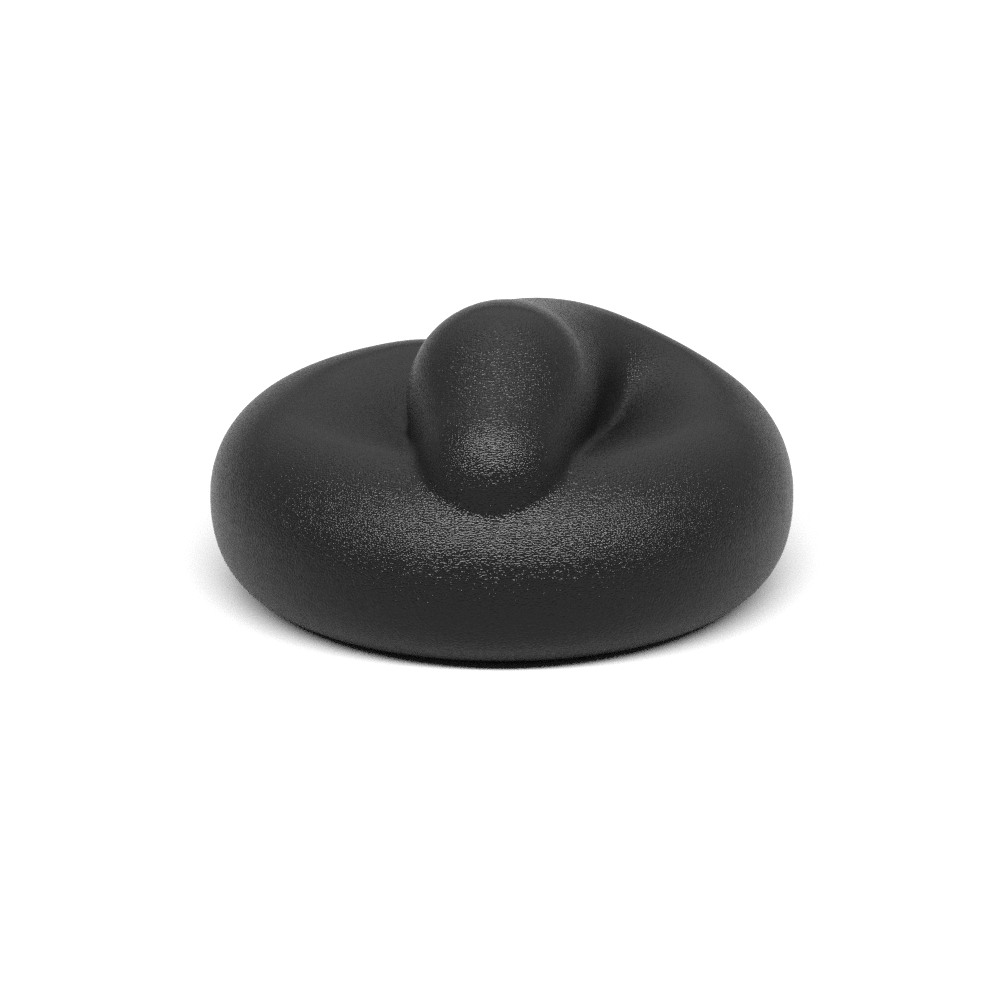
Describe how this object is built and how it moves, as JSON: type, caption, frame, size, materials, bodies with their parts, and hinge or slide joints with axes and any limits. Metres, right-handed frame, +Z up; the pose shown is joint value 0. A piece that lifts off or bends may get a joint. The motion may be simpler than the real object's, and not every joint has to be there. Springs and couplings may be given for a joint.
{
  "type": "snake figurine",
  "caption": "Small coiled snake figurine: one thick, smooth, round body lying in a single coil, the neck turning back so that the blunt head rests on the front of the coil.",
  "frame": {"origin": "middle of the footprint's bounding box, on the plane that the snake rests on", "axes": "+Z up; the snake looks towards -Y; its neck turns away to +X"},
  "size_m": [0.0738, 0.073, 0.0394],
  "materials": {
    "black_casting": "fine sand-cast grain under a matt black baked coating, glinting softly"
  },
  "bodies": {
    "root": {"snake": "black_casting"}
  },
  "joints": []
}
